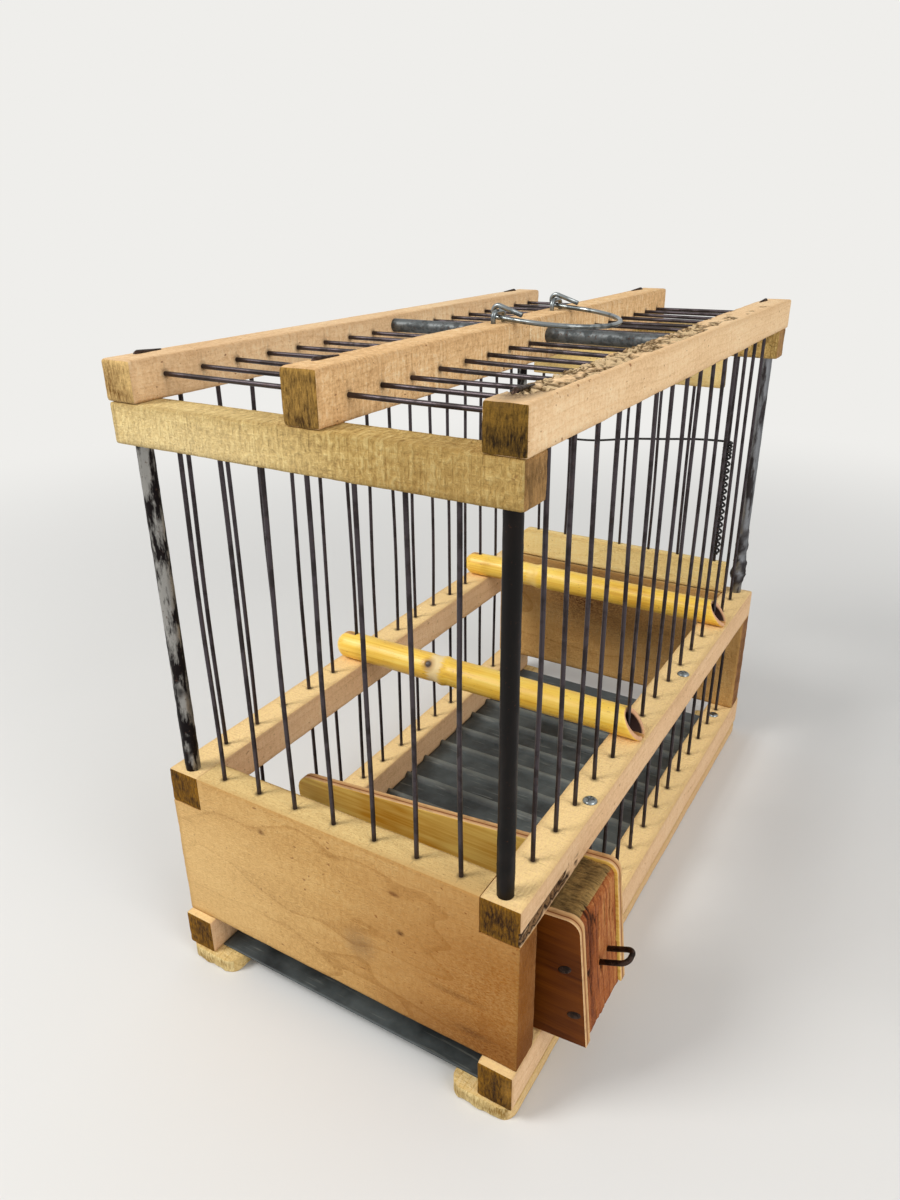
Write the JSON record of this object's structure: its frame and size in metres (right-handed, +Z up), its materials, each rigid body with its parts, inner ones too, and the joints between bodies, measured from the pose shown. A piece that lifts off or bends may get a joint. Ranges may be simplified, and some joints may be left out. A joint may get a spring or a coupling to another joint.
{
  "type": "bird cage",
  "caption": "Small handmade bird cage of wooden strips and upright wires, with a sliding seed drawer, a loose floor tray, a wire-hung rear door, cane perches and a folding wire bail.",
  "frame": {"origin": "on the ground, under the middle of the cage's length and width", "axes": "+Z up; +X to the side that the drawer pulls out of; -Y the front board, +Y the door end, along the length"},
  "size_m": [0.1754, 0.29, 0.2527],
  "materials": {
    "runner_wood": "rough sawn pale wood",
    "rail_wood": "planed pale beech",
    "board_wood": "tan board with large curved grain",
    "crossbar_wood": "yellowish sawn wood",
    "top_rail_wood": "pinkish beige sawn wood",
    "screen_wire": "dark oiled steel wire",
    "post_steel": "satin steel with black scale",
    "nail_steel": "dark iron",
    "zinc_steel": "blotchy zinc",
    "galvanised_wire": "bright galvanised",
    "iron_wire": "dark brown iron",
    "plywood": "dark amber varnish, pale layered edges",
    "block_wood": "reddish weathered softwood",
    "sheet_metal": "slate grey",
    "door_wood": "pale yellow wood",
    "cane": "glossy golden cane"
  },
  "bodies": {
    "cage": {"runner_left": "runner_wood", "runner_right": "runner_wood", "lower_rail_left": "rail_wood", "lower_rail_right": "rail_wood", "mid_rail_left": "rail_wood", "mid_rail_right": "rail_wood", "front_board": "board_wood", "rear_board": "board_wood", "front_crossbar": "crossbar_wood", "rear_crossbar": "crossbar_wood", "top_rail_left": "top_rail_wood", "top_rail_middle": "top_rail_wood", "top_rail_right": "top_rail_wood", "side_wires_left": "screen_wire", "side_wires_right": "screen_wire", "front_wires": "screen_wire", "top_wires": "screen_wire", "door_pivot_wire": "screen_wire", "corner_post_front_left": "post_steel", "corner_post_rear_left": "post_steel", "corner_post_front_right": "post_steel", "corner_post_rear_right": "post_steel", "top_rail_nails": "nail_steel", "runner_nails": "nail_steel", "rail_screws": "zinc_steel", "cross_rod": "zinc_steel", "handle_staple_front": "galvanised_wire", "handle_staple_rear": "galvanised_wire"},
    "drawer": {"drawer_front_side": "plywood", "drawer_rear_side": "plywood", "drawer_outer_block": "block_wood", "drawer_inner_block": "block_wood", "drawer_floor": "plywood", "drawer_nails": "nail_steel", "drawer_pull": "iron_wire"},
    "tray": {"floor_tray": "sheet_metal"},
    "door": {"door_bottom_bar": "door_wood", "door_head_bar": "door_wood", "door_wires": "screen_wire", "door_cross_wire": "iron_wire"},
    "perch_near": {"near_perch": "cane"},
    "perch_far": {"far_perch": "cane"},
    "handle": {"handle_bail": "galvanised_wire"}
  },
  "joints": [
    {"name": "drawer_slide", "type": "slide", "parent": "cage", "child": "drawer", "axis": [0.9952, 0, 0.0983], "range_m": [0, 0.11]},
    {"name": "tray_slide", "type": "slide", "parent": "cage", "child": "tray", "axis": [0, -1, 0], "range_m": [-0.2, 0.24]},
    {"name": "door_hinge", "type": "hinge", "parent": "cage", "child": "door", "pos_m": [0.0545, 0.1315, 0.15], "axis": [0, 0, -1], "range_deg": [0, 110]},
    {"name": "near_perch_lift", "type": "slide", "parent": "cage", "child": "perch_near", "axis": [0, 0, 1], "range_m": [0, 0.12]},
    {"name": "far_perch_lift", "type": "slide", "parent": "cage", "child": "perch_far", "axis": [0, 0, 1], "range_m": [0, 0.12]},
    {"name": "handle_swing", "type": "hinge", "parent": "cage", "child": "handle", "pos_m": [0.005, -0.004, 0.2497], "axis": [0, -1, 0], "range_deg": [0, 190]}
  ]
}
